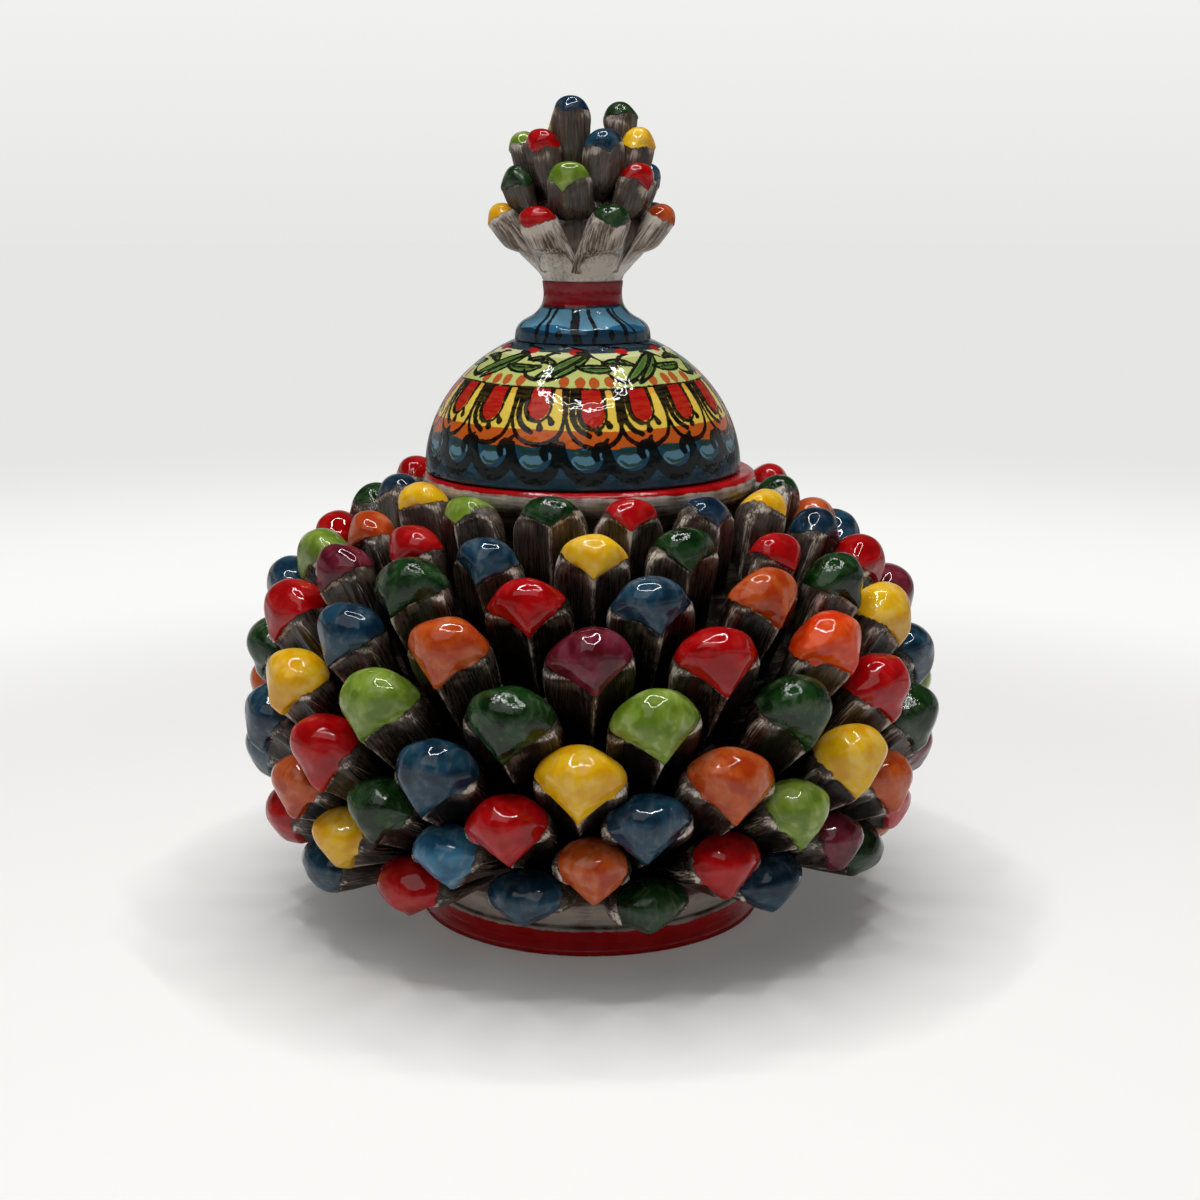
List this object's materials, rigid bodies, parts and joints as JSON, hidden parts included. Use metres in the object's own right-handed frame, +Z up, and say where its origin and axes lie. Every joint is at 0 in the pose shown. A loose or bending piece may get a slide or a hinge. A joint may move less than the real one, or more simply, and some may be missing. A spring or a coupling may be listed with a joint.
{
  "type": "sweet jar",
  "caption": "Lidded round jar in the form of a pine cone, covered in rows of pinched clay scales, with a domed drop-in lid and a small cone for its knob.",
  "frame": {"origin": "centre of the foot's underside, on the surface the jar stands on", "axes": "+Z up along the jar's axis, -Y to the front, +X to the right seen from the front"},
  "size_m": [0.2615, 0.2613, 0.2995],
  "materials": {
    "red_glaze": "gloss",
    "cream_glaze": "gloss over a thin clay wash",
    "washed_clay": "dark oxide wash over cream clay, with the tips in coloured gloss glaze",
    "painted_glaze": "hand-painted gloss glaze",
    "blue_glaze": "hand-painted gloss glaze"
  },
  "bodies": {
    "jar": {"foot_ring": "red_glaze", "vessel": "cream_glaze", "scale_row_1": "washed_clay", "scale_row_2": "washed_clay", "scale_row_3": "washed_clay", "scale_row_4": "washed_clay", "scale_row_5": "washed_clay", "scale_row_6": "washed_clay", "scale_row_7": "washed_clay", "scale_row_8": "washed_clay", "scale_row_9": "washed_clay"},
    "lid": {"lid_dome": "painted_glaze", "lid_flange": "cream_glaze", "lid_neck": "blue_glaze", "finial_core": "cream_glaze", "finial_scale_1_1": "washed_clay", "finial_scale_1_2": "washed_clay", "finial_scale_1_3": "washed_clay", "finial_scale_1_4": "washed_clay", "finial_scale_1_5": "washed_clay", "finial_scale_1_6": "washed_clay", "finial_scale_1_7": "washed_clay", "finial_scale_2_1": "washed_clay", "finial_scale_2_2": "washed_clay", "finial_scale_2_3": "washed_clay", "finial_scale_2_4": "washed_clay", "finial_scale_2_5": "washed_clay", "finial_scale_2_6": "washed_clay", "finial_scale_3_1": "washed_clay", "finial_scale_3_2": "washed_clay", "finial_scale_3_3": "washed_clay", "finial_scale_3_4": "washed_clay", "finial_scale_3_5": "washed_clay", "finial_scale_3_6": "washed_clay", "finial_scale_4_1": "washed_clay", "finial_scale_4_2": "washed_clay", "finial_scale_4_3": "washed_clay"}
  },
  "joints": [
    {"name": "lid_lift", "type": "slide", "parent": "jar", "child": "lid", "axis": [0, 0, 1], "range_m": [0, 0.12]}
  ]
}
